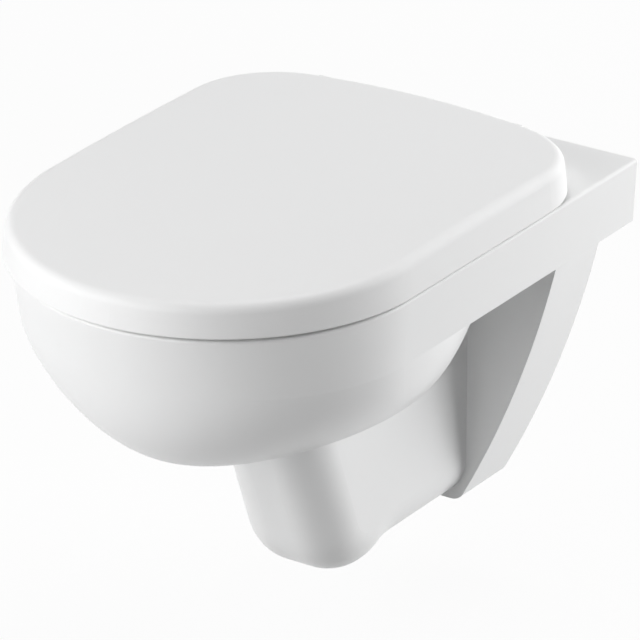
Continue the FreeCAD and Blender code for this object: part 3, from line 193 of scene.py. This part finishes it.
def pale_floor():
    """A grey that throws little light back, seen as almost white with the object's shadow left on it."""
    material = bpy.data.materials.new("pale_floor")
    material.use_nodes = True
    tree = material.node_tree
    tree.nodes.clear()
    output = tree.nodes.new("ShaderNodeOutputMaterial")
    thrown = tree.nodes.new("ShaderNodeBsdfDiffuse")
    thrown.inputs["Color"].default_value = grey(FLOOR_THROWN)
    paint = tree.nodes.new("ShaderNodeBsdfDiffuse")
    paint.inputs["Color"].default_value = grey(FLOOR_PAINT)
    glow = tree.nodes.new("ShaderNodeEmission")
    glow.inputs["Color"].default_value = grey(1)
    glow.inputs["Strength"].default_value = 1.0
    place = tree.nodes.new("ShaderNodeTexCoord")
    distance = tree.nodes.new("ShaderNodeVectorMath")
    distance.operation = "LENGTH"
    tree.links.new(place.outputs["Object"], distance.inputs[0])
    fade = tree.nodes.new("ShaderNodeMapRange")
    fade.inputs["From Min"].default_value = NEAR_DISTANCE
    fade.inputs["From Max"].default_value = FAR_DISTANCE
    fade.inputs["To Min"].default_value = NEAR_GLOW
    fade.inputs["To Max"].default_value = FAR_GLOW
    tree.links.new(distance.outputs["Value"], fade.inputs["Value"])
    seen = tree.nodes.new("ShaderNodeMixShader")
    tree.links.new(fade.outputs["Result"], seen.inputs["Fac"])
    tree.links.new(paint.outputs["BSDF"], seen.inputs[1])
    tree.links.new(glow.outputs["Emission"], seen.inputs[2])
    mix = tree.nodes.new("ShaderNodeMixShader")
    tree.links.new(seen_directly(tree), mix.inputs["Fac"])
    tree.links.new(thrown.outputs["BSDF"], mix.inputs[1])
    tree.links.new(seen.outputs["Shader"], mix.inputs[2])
    tree.links.new(mix.outputs["Shader"], output.inputs["Surface"])
    return material


def seen_directly(tree):
    """1 for camera, glossy and transmission rays, 0 for the light that falls on the object."""
    path = tree.nodes.new("ShaderNodeLightPath")
    total = path.outputs["Is Camera Ray"]
    for ray in ("Is Glossy Ray", "Is Transmission Ray"):
        larger = tree.nodes.new("ShaderNodeMath")
        larger.operation = "MAXIMUM"
        tree.links.new(total, larger.inputs[0])
        tree.links.new(path.outputs[ray], larger.inputs[1])
        total = larger.outputs[0]
    return total


def build_floor():
    """One wide square under the object."""
    turns = ((-1, -1), (1, -1), (1, 1), (-1, 1))
    corners = [(x * FLOOR_HALF, y * FLOOR_HALF, FLOOR_LEVEL) for x, y in turns]
    mesh = bpy.data.meshes.new("floor")
    mesh.from_pydata(corners, [], [(0, 1, 2, 3)])
    floor = bpy.data.objects.new("floor", mesh)
    scene.collection.objects.link(floor)
    mesh.materials.append(pale_floor())


def build_world():
    """White behind everything, with only a little light of its own."""
    world = bpy.data.worlds.new("studio")
    scene.world = world
    world.use_nodes = True
    tree = world.node_tree
    tree.nodes.clear()
    output = tree.nodes.new("ShaderNodeOutputWorld")
    mix = tree.nodes.new("ShaderNodeMixShader")
    fill = tree.nodes.new("ShaderNodeBackground")
    fill.inputs["Color"].default_value = grey(AMBIENT)
    white = tree.nodes.new("ShaderNodeBackground")
    white.inputs["Color"].default_value = grey(1)
    tree.links.new(seen_directly(tree), mix.inputs["Fac"])
    tree.links.new(fill.outputs["Background"], mix.inputs[1])
    tree.links.new(white.outputs["Background"], mix.inputs[2])
    tree.links.new(mix.outputs["Shader"], output.inputs["Surface"])


# Camera and lamps

AZIMUTH = math.radians(34.16)
ELEVATION = math.radians(24.67)
RIGHT = Vector((math.cos(AZIMUTH), math.sin(AZIMUTH), 0))
FORWARD = Vector((
    -math.sin(AZIMUTH) * math.cos(ELEVATION),
    math.cos(AZIMUTH) * math.cos(ELEVATION),
    -math.sin(ELEVATION),
))
UPWARD = RIGHT.cross(FORWARD)
# Level and towards the camera.
NEAR = -Vector((FORWARD.x, FORWARD.y, 0)).normalized()
MIDDLE = Vector((0, -0.270, -0.060))
FOCAL_LENGTH = 337.5
SENSOR_WIDTH = 36.0
EYE_DISTANCE = 5.042
AIM_RIGHT, AIM_UP = 0.02814, 0.04251
LAMP_DISTANCE = 2.2


def facing(direction, up=Vector((0, 0, 1))):
    """A rotation that points -Z along a direction."""
    back = -direction.normalized()
    side = up.cross(back).normalized()
    return Matrix((side, back.cross(side), back)).transposed().to_4x4()


def build_camera():
    camera = bpy.data.cameras.new("camera")
    camera.lens = FOCAL_LENGTH
    camera.sensor_width = SENSOR_WIDTH
    camera.clip_end = 60.0
    place = bpy.data.objects.new("camera", camera)
    eye = MIDDLE - FORWARD * EYE_DISTANCE
    target = MIDDLE + RIGHT * AIM_RIGHT + UPWARD * AIM_UP
    place.matrix_world = Matrix.Translation(eye) @ facing(target - eye)
    scene.collection.objects.link(place)
    scene.camera = place


def softbox(name, at, wide, high, power, mirrored=True):
    """A rectangle of light that faces the object; one that isn't mirrored leaves no reflection."""
    lamp = bpy.data.lights.new(name, "AREA")
    lamp.shape = "RECTANGLE"
    lamp.size = wide
    lamp.size_y = high
    lamp.energy = power
    place = bpy.data.objects.new(name, lamp)
    place.matrix_world = Matrix.Translation(at) @ facing(MIDDLE - at)
    place.visible_glossy = mirrored
    scene.collection.objects.link(place)


def around(degrees, rise, distance=LAMP_DISTANCE):
    """A lamp's place: degrees round from the camera's side, to the right, then height and distance."""
    angle = math.radians(degrees)
    outward = RIGHT * math.sin(angle) + NEAR * math.cos(angle)
    return MIDDLE + outward * distance + Vector((0, 0, rise))


def build_lamps():
    softbox("key_softbox", around(-45, 0.8), 2.0, 2.0, 35.5)
    softbox("left_softbox", around(-80, 0.4), 1.8, 1.8, 19.0)
    softbox("right_softbox", around(103, 0.4, 3.2), 3.0, 3.0, 160.0, mirrored=False)
    softbox("top_softbox", around(180, 2.2, 0.6), 2.4, 2.0, 26.5)


scene.view_settings.view_transform = "Standard"
build_floor()
build_world()
build_camera()
build_lamps()
